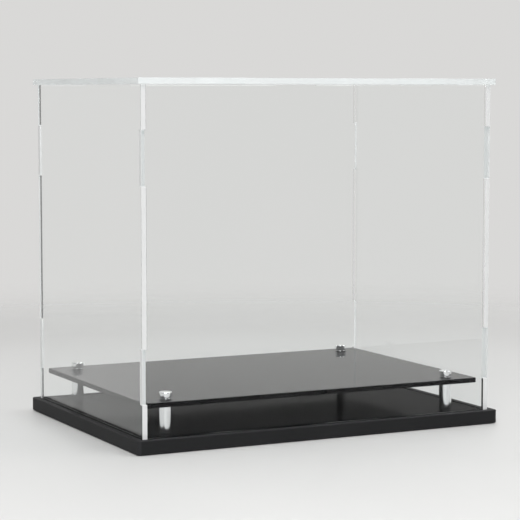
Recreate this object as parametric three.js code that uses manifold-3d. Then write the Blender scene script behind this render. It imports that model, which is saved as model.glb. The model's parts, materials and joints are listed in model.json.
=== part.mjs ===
// Display case for a football helmet: a clear acrylic cover standing in a groove of a black base,
// and a glossy black platform held above the base by four polished standoffs.
//
// Millimetres, +Z up. The origin is the point on the table under the middle of the base. X runs along
// the long side, and -Y is the front. The cover (four walls and a lid) lifts straight up out of the
// groove, the lid lifts off the walls' tabs, and the standoff caps unscrew so that the platform lifts off.

import * as THREE from 'three';
import { mergeVertices } from 'three/addons/utils/BufferGeometryUtils.js';
import Module from 'manifold-3d';

// ---- Driving dimensions --------------------------------------------------------------------------

// Overall size.
const BASE_WIDTH = 400;
const BASE_DEPTH = 292;
const CASE_HEIGHT = 353; // table to the upper face of the lid

// Base board, a lacquered board with a groove for the walls.
const BOARD_THICKNESS = 13.4;
const BOARD_CORNER_RADIUS = 3.5;
const BOARD_EDGE_ROUNDING = 0.8;
const LEDGE_WIDTH = 7.5; // board showing outside the walls
const GROOVE_DEPTH = 10;
const GROOVE_CLEARANCE = 0.5; // beside each face of a wall

// Floor sheet, which covers the board inside the groove, flush with the ledge.
const FLOOR_SHEET_THICKNESS = 3;

// Feet, round pads sunk into the underside of the board.
const FOOT_DIAMETER = 20;
const FOOT_THICKNESS = 2.8;
const FOOT_RECESS_DEPTH = 2;
const FOOT_CLEARANCE = 0.3;
const FOOT_INSET = 24; // edge of the board to the middle of a foot

// Walls, joined at the corners by fingers. The front and back walls carry the fingers, and the
// left and right walls are notched for them.
const WALL_THICKNESS = 5;
const FINGER_LENGTH = 52.5;
const FINGER_INSET = 42.4; // lower and upper edge of a wall to the nearest finger
const FINGER_CLEARANCE = 0.15;

// Lid, which the walls' tabs pass through.
const LID_THICKNESS = 6;
const LID_OVERHANG = 4; // past the walls' outer faces
const LID_CORNER_RADIUS = 1;
const TAB_LENGTH = 52.5;
const TAB_INSET = 55; // corner of the walls to the nearest end of a tab
const SLOT_CLEARANCE = 0.25;

// Platform.
const PLATFORM_THICKNESS = 5;
const PLATFORM_MARGIN = 4; // platform's edge to a wall's inner face
const PLATFORM_CORNER_RADIUS = 1.5;
const STUD_HOLE_CLEARANCE = 0.5; // on the radius, round a stud

// Standoffs: a barrel, a polished washer on each side of the platform, and a cap with a threaded stud.
const STANDOFF_DIAMETER = 12.7;
const STANDOFF_INSET_X = 26; // platform's end to a standoff's axis
const STANDOFF_INSET_Y = 18.5; // platform's front edge to a standoff's axis
const BARREL_HEIGHT = 26.5;
const CAP_HEIGHT = 6;
const CAP_EDGE_ROUNDING = 1;
const BARREL_CHAMFER = 0.4;
const WASHER_THICKNESS = 0.8;
const THREAD_DIAMETER = 6; // studs and base screws
const THREAD_ENGAGEMENT = 10; // length of a stud or screw inside a barrel
const THREAD_CLEARANCE = 0.25; // on the radius, in a barrel and in a washer
const THREAD_CHAMFER = 0.6;

// Base screws, countersunk from below through board and floor sheet into the barrels.
const SCREW_HEAD_DIAMETER = 11.3;
const SCREW_HEAD_RIM = 0.5;
const SCREW_HEAD_SUNK = 0.5; // head below the underside of the board
const SCREW_HOLE_CLEARANCE = 0.35; // on the radius
const SCREW_SOCKET_ACROSS_FLATS = 4;
const SCREW_SOCKET_DEPTH = 2;

// Gap between faces that rest on each other.
const SEAT_GAP = 0.1;

// Fineness of round faces: segments of a whole circle, and of each quarter arc of a flat outline.
const ROUND_SEGMENTS = 24;
const QUARTER_SEGMENTS = 6;

// ---- Levels and outlines that follow from them ---------------------------------------------------

const BOARD_BOTTOM = FOOT_THICKNESS - FOOT_RECESS_DEPTH;
const BOARD_TOP = BOARD_BOTTOM + BOARD_THICKNESS;
const GROOVE_BOTTOM = BOARD_TOP - GROOVE_DEPTH;
const PLATEAU_TOP = BOARD_TOP - FLOOR_SHEET_THICKNESS - SEAT_GAP;

const WALL_OUTER_X = BASE_WIDTH / 2 - LEDGE_WIDTH;
const WALL_OUTER_Y = BASE_DEPTH / 2 - LEDGE_WIDTH;
const WALL_INNER_X = WALL_OUTER_X - WALL_THICKNESS;
const WALL_INNER_Y = WALL_OUTER_Y - WALL_THICKNESS;
const WALL_BOTTOM = GROOVE_BOTTOM + SEAT_GAP;
const LID_BOTTOM = CASE_HEIGHT - LID_THICKNESS;
const WALL_TOP = LID_BOTTOM - SEAT_GAP;
const TAB_TOP = CASE_HEIGHT - SEAT_GAP;

const GROOVE_OUTER_X = WALL_OUTER_X + GROOVE_CLEARANCE;
const GROOVE_OUTER_Y = WALL_OUTER_Y + GROOVE_CLEARANCE;
const PLATEAU_X = WALL_INNER_X - GROOVE_CLEARANCE;
const PLATEAU_Y = WALL_INNER_Y - GROOVE_CLEARANCE;

const PLATFORM_X = WALL_INNER_X - PLATFORM_MARGIN;
const PLATFORM_Y = WALL_INNER_Y - PLATFORM_MARGIN;
const STANDOFF_X = PLATFORM_X - STANDOFF_INSET_X;
const STANDOFF_Y = PLATFORM_Y - STANDOFF_INSET_Y;

const BARREL_BOTTOM = BOARD_TOP + SEAT_GAP;
const BARREL_TOP = BARREL_BOTTOM + BARREL_HEIGHT;
const LOWER_WASHER_BOTTOM = BARREL_TOP + SEAT_GAP;
const PLATFORM_BOTTOM = LOWER_WASHER_BOTTOM + WASHER_THICKNESS + SEAT_GAP;
const UPPER_WASHER_BOTTOM = PLATFORM_BOTTOM + PLATFORM_THICKNESS + SEAT_GAP;
const CAP_BOTTOM = UPPER_WASHER_BOTTOM + WASHER_THICKNESS + SEAT_GAP;
const STUD_BOTTOM = BARREL_TOP - THREAD_ENGAGEMENT;

const SCREW_BOTTOM = BOARD_BOTTOM + SCREW_HEAD_SUNK;
const SCREW_TOP = BARREL_BOTTOM + THREAD_ENGAGEMENT;

const FOOT_X = BASE_WIDTH / 2 - FOOT_INSET;
const FOOT_Y = BASE_DEPTH / 2 - FOOT_INSET;

// The two fingers of a corner, each as [lower end, upper end].
const FINGERS = [
  [WALL_BOTTOM + FINGER_INSET, WALL_BOTTOM + FINGER_INSET + FINGER_LENGTH],
  [WALL_TOP - FINGER_INSET - FINGER_LENGTH, WALL_TOP - FINGER_INSET],
];

// The four corners of the case, with the sign of each one's place along X and Y.
const CORNERS = [
  { name: 'front_left', x: -1, y: -1 },
  { name: 'front_right', x: 1, y: -1 },
  { name: 'back_left', x: -1, y: 1 },
  { name: 'back_right', x: 1, y: 1 },
];

// ---- Materials -----------------------------------------------------------------------------------

function blackLacquer() {
  return new THREE.MeshStandardMaterial({ color: 0x1b1b1c, roughness: 0.42, metalness: 0 });
}

function glossyAcrylic() {
  return new THREE.MeshStandardMaterial({ color: 0x07070a, roughness: 0.05, metalness: 0 });
}

function satinAcrylic() {
  return new THREE.MeshStandardMaterial({ color: 0x0b0b0c, roughness: 0.5, metalness: 0 });
}

function clearAcrylic() {
  return new THREE.MeshStandardMaterial({
    color: 0xf3f7f6,
    roughness: 0.03,
    metalness: 0,
    transparent: true,
    opacity: 0.25,
  });
}

function polishedSteel() {
  return new THREE.MeshStandardMaterial({ color: 0xd6d8da, roughness: 0.08, metalness: 1 });
}

function zincSteel() {
  return new THREE.MeshStandardMaterial({ color: 0xa9adb0, roughness: 0.35, metalness: 1 });
}

function blackRubber() {
  return new THREE.MeshStandardMaterial({ color: 0x222223, roughness: 0.9, metalness: 0 });
}

// ---- Solids --------------------------------------------------------------------------------------

const wasm = await Module();
wasm.setup();

// A closed three.js geometry as a manifold-3d solid.
function solidFrom(geometry) {
  const bare = geometry.clone();
  bare.deleteAttribute('normal');
  bare.deleteAttribute('uv');
  const merged = mergeVertices(bare);
  return new wasm.Manifold(
    new wasm.Mesh({
      numProp: 3,
      vertProperties: merged.attributes.position.array,
      triVerts: new Uint32Array(merged.index.array),
    }),
  );
}

// A manifold-3d solid as a flat-shaded three.js geometry.
function geometryFrom(solid) {
  const mesh = solid.getMesh();
  const indexed = new THREE.BufferGeometry();
  indexed.setAttribute('position', new THREE.BufferAttribute(mesh.vertProperties, 3));
  indexed.setIndex(new THREE.BufferAttribute(mesh.triVerts, 1));
  const geometry = indexed.toNonIndexed();
  geometry.computeVertexNormals();
  return geometry;
}

// The geometry left when each tool's volume is taken away from the blank's.
function cutBy(blank, tools) {
  const solid = tools.reduce((rest, tool) => rest.subtract(solidFrom(tool)), solidFrom(blank));
  return geometryFrom(solid);
}

// A box about the Z axis, from one level up to another.
function boxBetween(halfX, halfY, bottom, top) {
  const box = new THREE.BoxGeometry(2 * halfX, 2 * halfY, top - bottom);
  return box.translate(0, 0, (bottom + top) / 2);
}

// A round solid about a vertical axis through (x, y), from one level up to another.
function rodBetween(radius, x, y, bottom, top, segments = ROUND_SEGMENTS) {
  const rod = new THREE.CylinderGeometry(radius, radius, top - bottom, segments);
  return rod.rotateX(Math.PI / 2).translate(x, y, (bottom + top) / 2);
}

// A solid turned about the Z axis from [radius, level] points, given upwards along its outside.
// A ring's points end where they start.
function turned(profile) {
  const points = profile.map(([radius, level]) => new THREE.Vector2(radius, level));
  return new THREE.LatheGeometry(points, ROUND_SEGMENTS).rotateX(Math.PI / 2);
}

// A rectangle about the origin with round corners.
function roundedRectangle(halfX, halfY, radius) {
  const shape = new THREE.Shape();
  const x = halfX - radius;
  const y = halfY - radius;
  shape.absarc(x, -y, radius, -Math.PI / 2, 0);
  shape.absarc(x, y, radius, 0, Math.PI / 2);
  shape.absarc(-x, y, radius, Math.PI / 2, Math.PI);
  shape.absarc(-x, -y, radius, Math.PI, 1.5 * Math.PI);
  shape.closePath();
  return shape;
}

// A flat outline raised to a plate between two levels.
function plateBetween(shape, bottom, top) {
  const plate = new THREE.ExtrudeGeometry(shape, {
    depth: top - bottom,
    bevelEnabled: false,
    curveSegments: QUARTER_SEGMENTS / 2,
  });
  return plate.translate(0, 0, bottom);
}

function namedMesh(name, geometry, material) {
  const mesh = new THREE.Mesh(geometry, material);
  mesh.name = name;
  return mesh;
}

// ---- Base: board, floor sheet, feet and base screws ----------------------------------------------

// Profile of a base screw from the middle of its head to its tip. A growth makes it the profile
// of the hole that the screw stands in, which then starts below the board.
function screwProfile(growth) {
  const headRadius = SCREW_HEAD_DIAMETER / 2;
  const shankRadius = THREAD_DIAMETER / 2;
  const start = SCREW_BOTTOM - (growth > 0 ? BOARD_THICKNESS : 0);
  const rimTop = SCREW_BOTTOM + SCREW_HEAD_RIM + growth;
  const coneTop = rimTop + headRadius - shankRadius;
  return [
    [0, start],
    [headRadius + growth, start],
    [headRadius + growth, rimTop],
    [shankRadius + growth, coneTop],
    [shankRadius + growth, SCREW_TOP - THREAD_CHAMFER],
    [shankRadius + growth - THREAD_CHAMFER, SCREW_TOP],
    [0, SCREW_TOP],
  ];
}

// The holes for the base screws, one at each standoff.
function screwHoles() {
  return CORNERS.map((corner) =>
    turned(screwProfile(SCREW_HOLE_CLEARANCE)).translate(corner.x * STANDOFF_X, corner.y * STANDOFF_Y, 0),
  );
}

function baseBoard() {
  const rounding = BOARD_EDGE_ROUNDING;
  const outline = roundedRectangle(BASE_WIDTH / 2, BASE_DEPTH / 2, BOARD_CORNER_RADIUS);
  const blank = new THREE.ExtrudeGeometry(outline, {
    depth: BOARD_THICKNESS - 2 * rounding,
    bevelThickness: rounding,
    bevelSize: rounding,
    bevelOffset: -rounding,
    bevelSegments: 2,
    curveSegments: QUARTER_SEGMENTS / 2,
  }).translate(0, 0, BOARD_BOTTOM + rounding);

  const aboveBoard = BOARD_TOP + BOARD_THICKNESS;
  const overGroove = boxBetween(GROOVE_OUTER_X, GROOVE_OUTER_Y, GROOVE_BOTTOM, aboveBoard);
  const plateau = boxBetween(PLATEAU_X, PLATEAU_Y, BOARD_BOTTOM, PLATEAU_TOP);
  const pocket = cutBy(overGroove, [plateau]);

  const footRecesses = CORNERS.map((corner) =>
    rodBetween(
      FOOT_DIAMETER / 2 + FOOT_CLEARANCE,
      corner.x * FOOT_X,
      corner.y * FOOT_Y,
      0,
      BOARD_BOTTOM + FOOT_RECESS_DEPTH,
    ),
  );
  return namedMesh('base_board', cutBy(blank, [pocket, ...footRecesses, ...screwHoles()]), blackLacquer());
}

function floorSheet() {
  const blank = boxBetween(PLATEAU_X, PLATEAU_Y, BOARD_TOP - FLOOR_SHEET_THICKNESS, BOARD_TOP);
  return namedMesh('floor_sheet', cutBy(blank, screwHoles()), satinAcrylic());
}

function foot(corner) {
  const pad = rodBetween(FOOT_DIAMETER / 2, 0, 0, 0, FOOT_THICKNESS - SEAT_GAP);
  const mesh = namedMesh(`foot_${corner.name}`, pad, blackRubber());
  mesh.position.set(corner.x * FOOT_X, corner.y * FOOT_Y, 0);
  return mesh;
}

function baseScrew(corner) {
  const socketRadius = SCREW_SOCKET_ACROSS_FLATS / Math.sqrt(3);
  const socketTop = SCREW_BOTTOM + SCREW_SOCKET_DEPTH;
  const hexSocket = rodBetween(socketRadius, 0, 0, 0, socketTop, 6);
  const mesh = namedMesh(`base_screw_${corner.name}`, cutBy(turned(screwProfile(0)), [hexSocket]), zincSteel());
  mesh.position.set(corner.x * STANDOFF_X, corner.y * STANDOFF_Y, 0);
  return mesh;
}

// ---- Standoffs: barrel, washers and cap ----------------------------------------------------------

function standoffPiece(name, profile, corner, material) {
  const mesh = namedMesh(`${name}_${corner.name}`, turned(profile), material);
  mesh.position.set(corner.x * STANDOFF_X, corner.y * STANDOFF_Y, 0);
  return mesh;
}

function barrel(corner) {
  const outer = STANDOFF_DIAMETER / 2;
  const bore = THREAD_DIAMETER / 2 + THREAD_CLEARANCE;
  const profile = [
    [bore, BARREL_BOTTOM],
    [outer - BARREL_CHAMFER, BARREL_BOTTOM],
    [outer, BARREL_BOTTOM + BARREL_CHAMFER],
    [outer, BARREL_TOP - BARREL_CHAMFER],
    [outer - BARREL_CHAMFER, BARREL_TOP],
    [bore, BARREL_TOP],
    [bore, BARREL_BOTTOM],
  ];
  return standoffPiece('standoff_barrel', profile, corner, polishedSteel());
}

function washer(name, bottom, corner) {
  const outer = STANDOFF_DIAMETER / 2;
  const bore = THREAD_DIAMETER / 2 + THREAD_CLEARANCE;
  const top = bottom + WASHER_THICKNESS;
  const profile = [
    [bore, bottom],
    [outer, bottom],
    [outer, top],
    [bore, top],
    [bore, bottom],
  ];
  return standoffPiece(name, profile, corner, polishedSteel());
}

function cap(corner) {
  const outer = STANDOFF_DIAMETER / 2;
  const stud = THREAD_DIAMETER / 2;
  const top = CAP_BOTTOM + CAP_HEIGHT;
  const roundedEdge = [0, 1, 2, 3].map((step) => {
    const angle = (step / 3) * (Math.PI / 2);
    return [
      outer - CAP_EDGE_ROUNDING * (1 - Math.cos(angle)),
      top - CAP_EDGE_ROUNDING * (1 - Math.sin(angle)),
    ];
  });
  const profile = [
    [0, STUD_BOTTOM],
    [stud - THREAD_CHAMFER, STUD_BOTTOM],
    [stud, STUD_BOTTOM + THREAD_CHAMFER],
    [stud, CAP_BOTTOM],
    [outer - BARREL_CHAMFER, CAP_BOTTOM],
    [outer, CAP_BOTTOM + BARREL_CHAMFER],
    ...roundedEdge,
    [0, top],
  ];
  return standoffPiece('standoff_cap', profile, corner, polishedSteel());
}

// ---- Platform ------------------------------------------------------------------------------------

// The platform, whose middle is a plain block between the standoffs, so that the face a displayed
// thing stands on is not crossed by the edges that run to the stud holes.
function platform() {
  const outline = roundedRectangle(PLATFORM_X, PLATFORM_Y, PLATFORM_CORNER_RADIUS);
  const top = PLATFORM_BOTTOM + PLATFORM_THICKNESS;
  const plate = plateBetween(outline, PLATFORM_BOTTOM, top);
  const studHoles = CORNERS.map((corner) =>
    rodBetween(
      THREAD_DIAMETER / 2 + STUD_HOLE_CLEARANCE,
      corner.x * STANDOFF_X,
      corner.y * STANDOFF_Y,
      0,
      top + PLATFORM_THICKNESS,
    ),
  );
  const middleX = STANDOFF_X - STANDOFF_DIAMETER;
  const middle = boxBetween(middleX, PLATFORM_Y, PLATFORM_BOTTOM, top);
  const ends = cutBy(plate, [middle, ...studHoles]);
  const whole = solidFrom(ends).add(solidFrom(middle));
  return namedMesh('platform', geometryFrom(whole), glossyAcrylic());
}

// ---- Cover: four walls and a lid -----------------------------------------------------------------

// Outline of a wall seen square on, about its middle line. Its upright edges are at plainHalf, and
// at fingerHalf along each finger, which is longer by the growth at both ends. Two tabs stand on
// its upper edge, set in from the corners of the walls at cornerHalf.
function wallOutline(plainHalf, fingerHalf, growth, cornerHalf) {
  const edge = FINGERS.flatMap(([low, high]) => [
    [plainHalf, low - growth],
    [fingerHalf, low - growth],
    [fingerHalf, high + growth],
    [plainHalf, high + growth],
  ]);
  const tabOuter = cornerHalf - TAB_INSET;
  const tabInner = tabOuter - TAB_LENGTH;
  const rightHalf = [
    [plainHalf, WALL_BOTTOM],
    ...edge,
    [plainHalf, WALL_TOP],
    [tabOuter, WALL_TOP],
    [tabOuter, TAB_TOP],
    [tabInner, TAB_TOP],
    [tabInner, WALL_TOP],
  ];
  const leftHalf = rightHalf.map(([across, level]) => [-across, level]).reverse();
  const points = [...rightHalf, ...leftHalf];
  return new THREE.Shape(points.map(([across, level]) => new THREE.Vector2(across, level)));
}

// A wall standing upright, its width along X and its thickness from y = -WALL_THICKNESS to y = 0.
function uprightWall(outline) {
  const wall = new THREE.ExtrudeGeometry(outline, { depth: WALL_THICKNESS, bevelEnabled: false });
  return wall.rotateX(Math.PI / 2);
}

// The front or the back wall, whose inner or outer face is at y.
function fingeredWall(name, y) {
  const outline = wallOutline(WALL_INNER_X - FINGER_CLEARANCE, WALL_OUTER_X, 0, WALL_OUTER_X);
  const mesh = namedMesh(name, uprightWall(outline), clearAcrylic());
  mesh.position.y = y;
  return mesh;
}

// The left or the right wall, whose outer or inner face is at x.
function notchedWall(name, x) {
  const notchHalf = WALL_INNER_Y - FINGER_CLEARANCE;
  const outline = wallOutline(WALL_OUTER_Y, notchHalf, FINGER_CLEARANCE, WALL_OUTER_Y);
  const mesh = namedMesh(name, uprightWall(outline), clearAcrylic());
  mesh.rotation.z = Math.PI / 2;
  mesh.position.x = x;
  return mesh;
}

// Tools that cut the slots for two facing walls' tabs. The tabs run along X when along is 'x'.
function tabSlots(cornerHalf, outerFace, along) {
  const tabMiddle = cornerHalf - TAB_INSET - TAB_LENGTH / 2;
  const wallMiddle = outerFace - WALL_THICKNESS / 2;
  const length = TAB_LENGTH + 2 * SLOT_CLEARANCE;
  const width = WALL_THICKNESS + 2 * SLOT_CLEARANCE;
  const [x, y] = along === 'x' ? [tabMiddle, wallMiddle] : [wallMiddle, tabMiddle];
  const [sizeX, sizeY] = along === 'x' ? [length, width] : [width, length];
  return CORNERS.map((corner) =>
    new THREE.BoxGeometry(sizeX, sizeY, 3 * LID_THICKNESS).translate(corner.x * x, corner.y * y, LID_BOTTOM),
  );
}

function lid() {
  const outline = roundedRectangle(
    WALL_OUTER_X + LID_OVERHANG,
    WALL_OUTER_Y + LID_OVERHANG,
    LID_CORNER_RADIUS,
  );
  const blank = plateBetween(outline, LID_BOTTOM, CASE_HEIGHT);
  const slots = [
    ...tabSlots(WALL_OUTER_X, WALL_OUTER_Y, 'x'),
    ...tabSlots(WALL_OUTER_Y, WALL_OUTER_X, 'y'),
  ];
  return namedMesh('lid', cutBy(blank, slots), clearAcrylic());
}

// ---- Assembly ------------------------------------------------------------------------------------

const base = new THREE.Group();
base.add(baseBoard(), floorSheet());

const cover = new THREE.Group();
cover.add(
  fingeredWall('wall_front', -WALL_INNER_Y),
  fingeredWall('wall_back', WALL_OUTER_Y),
  notchedWall('wall_left', -WALL_OUTER_X),
  notchedWall('wall_right', WALL_INNER_X),
  lid(),
);

const raisedPlatform = new THREE.Group();
raisedPlatform.add(platform());

for (const corner of CORNERS) {
  base.add(
    foot(corner),
    baseScrew(corner),
    barrel(corner),
    washer('lower_washer', LOWER_WASHER_BOTTOM, corner),
  );
  raisedPlatform.add(washer('upper_washer', UPPER_WASHER_BOTTOM, corner), cap(corner));
}

const displayCase = new THREE.Group();
displayCase.add(base, raisedPlatform, cover);

export default displayCase;
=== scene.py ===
"""Finishing of a clear acrylic display case for a football helmet.

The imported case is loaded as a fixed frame. Each of its pieces is made again as a fine surface with
softened arrises and cut threads, dressed in the finish of its material, and lit in a plain pale studio.
Lengths are metres, +Z is up, and -Y is the front of the case.
"""

from __future__ import annotations

import json
import logging
import math
from collections.abc import Callable, Sequence
from dataclasses import dataclass, replace
from enum import Enum
from typing import Any, NamedTuple

import bpy
import numpy as np
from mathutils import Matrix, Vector
from mathutils.geometry import tessellate_polygon


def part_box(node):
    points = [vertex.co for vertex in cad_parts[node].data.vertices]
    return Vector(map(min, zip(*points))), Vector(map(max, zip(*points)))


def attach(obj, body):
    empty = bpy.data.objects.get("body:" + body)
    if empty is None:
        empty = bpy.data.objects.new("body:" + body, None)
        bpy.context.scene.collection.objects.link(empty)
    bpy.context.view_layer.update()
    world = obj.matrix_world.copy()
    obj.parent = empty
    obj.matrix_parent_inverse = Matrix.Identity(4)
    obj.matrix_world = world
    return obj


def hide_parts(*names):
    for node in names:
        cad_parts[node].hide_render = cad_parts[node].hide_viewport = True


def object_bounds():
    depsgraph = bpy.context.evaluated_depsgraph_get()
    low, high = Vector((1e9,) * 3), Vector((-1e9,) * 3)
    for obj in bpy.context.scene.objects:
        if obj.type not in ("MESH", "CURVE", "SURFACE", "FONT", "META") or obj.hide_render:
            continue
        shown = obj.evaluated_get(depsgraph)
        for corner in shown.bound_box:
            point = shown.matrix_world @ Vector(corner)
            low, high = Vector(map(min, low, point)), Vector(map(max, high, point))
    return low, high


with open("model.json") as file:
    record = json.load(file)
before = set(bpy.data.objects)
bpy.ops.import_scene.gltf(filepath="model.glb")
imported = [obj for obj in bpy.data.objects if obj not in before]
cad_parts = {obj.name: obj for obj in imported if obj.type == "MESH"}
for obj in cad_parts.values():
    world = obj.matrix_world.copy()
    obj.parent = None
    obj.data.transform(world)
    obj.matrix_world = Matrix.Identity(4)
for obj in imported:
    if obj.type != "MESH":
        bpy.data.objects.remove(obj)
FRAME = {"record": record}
CAD_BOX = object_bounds()

LOG = logging.getLogger("display_case")
MM = 0.001

Colour = tuple[float, float, float]


class Corner(Enum):
    """A corner of the case, with the sign of its place along X and Y."""

    FRONT_LEFT = (-1, -1)
    FRONT_RIGHT = (1, -1)
    BACK_LEFT = (-1, 1)
    BACK_RIGHT = (1, 1)

    @property
    def label(self) -> str:
        """The corner's name as it ends the names of its pieces."""
        return self.name.lower()


class Plane(Enum):
    """Which way a plate lies, as the matrix that turns its flat drawing into place."""

    LYING = ((1, 0, 0), (0, 1, 0), (0, 0, 1))
    FACING_FRONT = ((1, 0, 0), (0, 0, -1), (0, 1, 0))
    FACING_SIDE = ((0, 0, 1), (1, 0, 0), (0, 1, 0))


# ---- Lines and skins -----------------------------------------------------------------------------


@dataclass(frozen=True)
class Line:
    """A flat line of points, closed or open.

    Attributes:
        points: The points, one row each.
        outward: At each point, the unit direction that faces out of the material.
        arris: At each point, 1 on a softened corner and 0 on a straight.
    """

    points: np.ndarray
    outward: np.ndarray
    arris: np.ndarray

    def shifted(self, x: float, y: float) -> Line:
        """The same line moved by x and y."""
        return replace(self, points=self.points + (x, y))

    def as_hole(self) -> Line:
        """The same line run the other way round, with the material outside it."""
        return Line(self.points[::-1], -self.outward[::-1], self.arris[::-1])


def softened(corners: Sequence[Sequence[float]], steps: int = 6, is_closed: bool = True) -> Line:
    """Rounds the corners of a line by arcs.

    An arc begins before its corner by radius x tan(turn / 2). Its centre lies a radius from there, on
    the inside of the turn, and its points are the centre plus or minus a radius along the outward
    direction, as that swings from the side before the corner to the side after it. The material lies
    on the left of the line. A corner of radius 0 stays one point, facing halfway.

    Args:
        corners: Rows of (across, along, radius).
        steps: Straight pieces in an arc.
        is_closed: False for an open line, whose two end points only give directions and are left out.

    Returns:
        The rounded line.
    """
    rows = np.asarray(corners, float)
    points, radius = rows[:, :2], rows[:, 2]
    before = points - np.roll(points, 1, axis=0)
    after = np.roll(before, -1, axis=0)
    if not is_closed:
        points, radius, before, after = (part[1:-1] for part in (points, radius, before, after))
    before = before / np.linalg.norm(before, axis=1, keepdims=True)
    after = after / np.linalg.norm(after, axis=1, keepdims=True)
    cross = before[:, 0] * after[:, 1] - before[:, 1] * after[:, 0]
    turn = np.arctan2(cross, (before * after).sum(axis=1))
    swing = turn[:, None] * np.linspace(0, 1, steps + 1)
    facing = np.arctan2(-before[:, 0], before[:, 1])[:, None] + swing
    outward = np.stack([np.cos(facing), np.sin(facing)], axis=-1)
    signed = (np.sign(turn) * radius)[:, None]
    begin = points - before * (radius * np.tan(np.abs(turn) / 2))[:, None]
    centre = begin - signed * outward[:, 0]
    curved = centre[:, None] + signed[:, :, None] * outward
    kept = np.broadcast_to(radius[:, None] > 0, facing.shape).copy()
    kept[:, steps // 2] = True
    inside = (np.arange(steps + 1) % steps > 0) & (radius[:, None] > 0)
    return Line(curved[kept], outward[kept], inside[kept].astype(float))


def rectangle(half_x: float, half_y: float, radius: float, steps: int = 8) -> Line:
    """A rectangle about the origin whose corners are arcs of one radius."""
    signs = ((-1, -1), (1, -1), (1, 1), (-1, 1))
    return softened([(x * half_x, y * half_y, radius) for x, y in signs], steps)


def circle(radius: float, segments: int) -> Line:
    """A circle about the origin: radius x (cos, sin) of the angle, facing away from its middle."""
    angle = np.linspace(0, 2 * np.pi, segments, endpoint=False)
    outward = np.stack([np.cos(angle), np.sin(angle)], axis=-1)
    return Line(radius * outward, outward, np.zeros(segments))


def section(corners: Sequence[Sequence[float]], steps: int = 3) -> Line:
    """An open profile, seen in section, whose first and last corners only give directions."""
    return softened(corners, steps, is_closed=False)


def edge_profile(low: float, high: float, arris: float, steps: int = 3) -> Line:
    """The side of a plate seen in section, from its lower face to its upper, with softened arrises."""
    return section([(-1, low, 0), (0, low, arris), (0, high, arris), (-1, high, 0)], steps)


@dataclass(frozen=True)
class Thread:
    """A screw thread cut into a round face.

    Attributes:
        pitch: Rise of one turn.
        depth: Depth of the groove. A negative depth cuts outward, as in a bore.
        low: Level where the thread begins.
        high: Level where the thread ends.
    """

    pitch: float
    depth: float
    low: float
    high: float

    def levels(self) -> np.ndarray:
        """Levels of the rows that the groove needs, eight to a turn."""
        return np.linspace(self.low, self.high, round((self.high - self.low) / self.pitch * 8) + 1)

    def relief(self, angle: np.ndarray, level: np.ndarray) -> np.ndarray:
        """How far the groove lies off the plain face.

        The groove is a triangle wave of level / pitch - angle / full turn, times the depth, and it
        grows from nothing over the first turn and fades over the last.
        """
        phase = (level / self.pitch - angle / (2 * np.pi)) % 1
        wave = 1 - np.abs(2 * phase - 1)
        runout = np.clip(np.minimum(level - self.low, self.high - level) / self.pitch, 0, 1)
        return -self.depth * wave * runout


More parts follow.
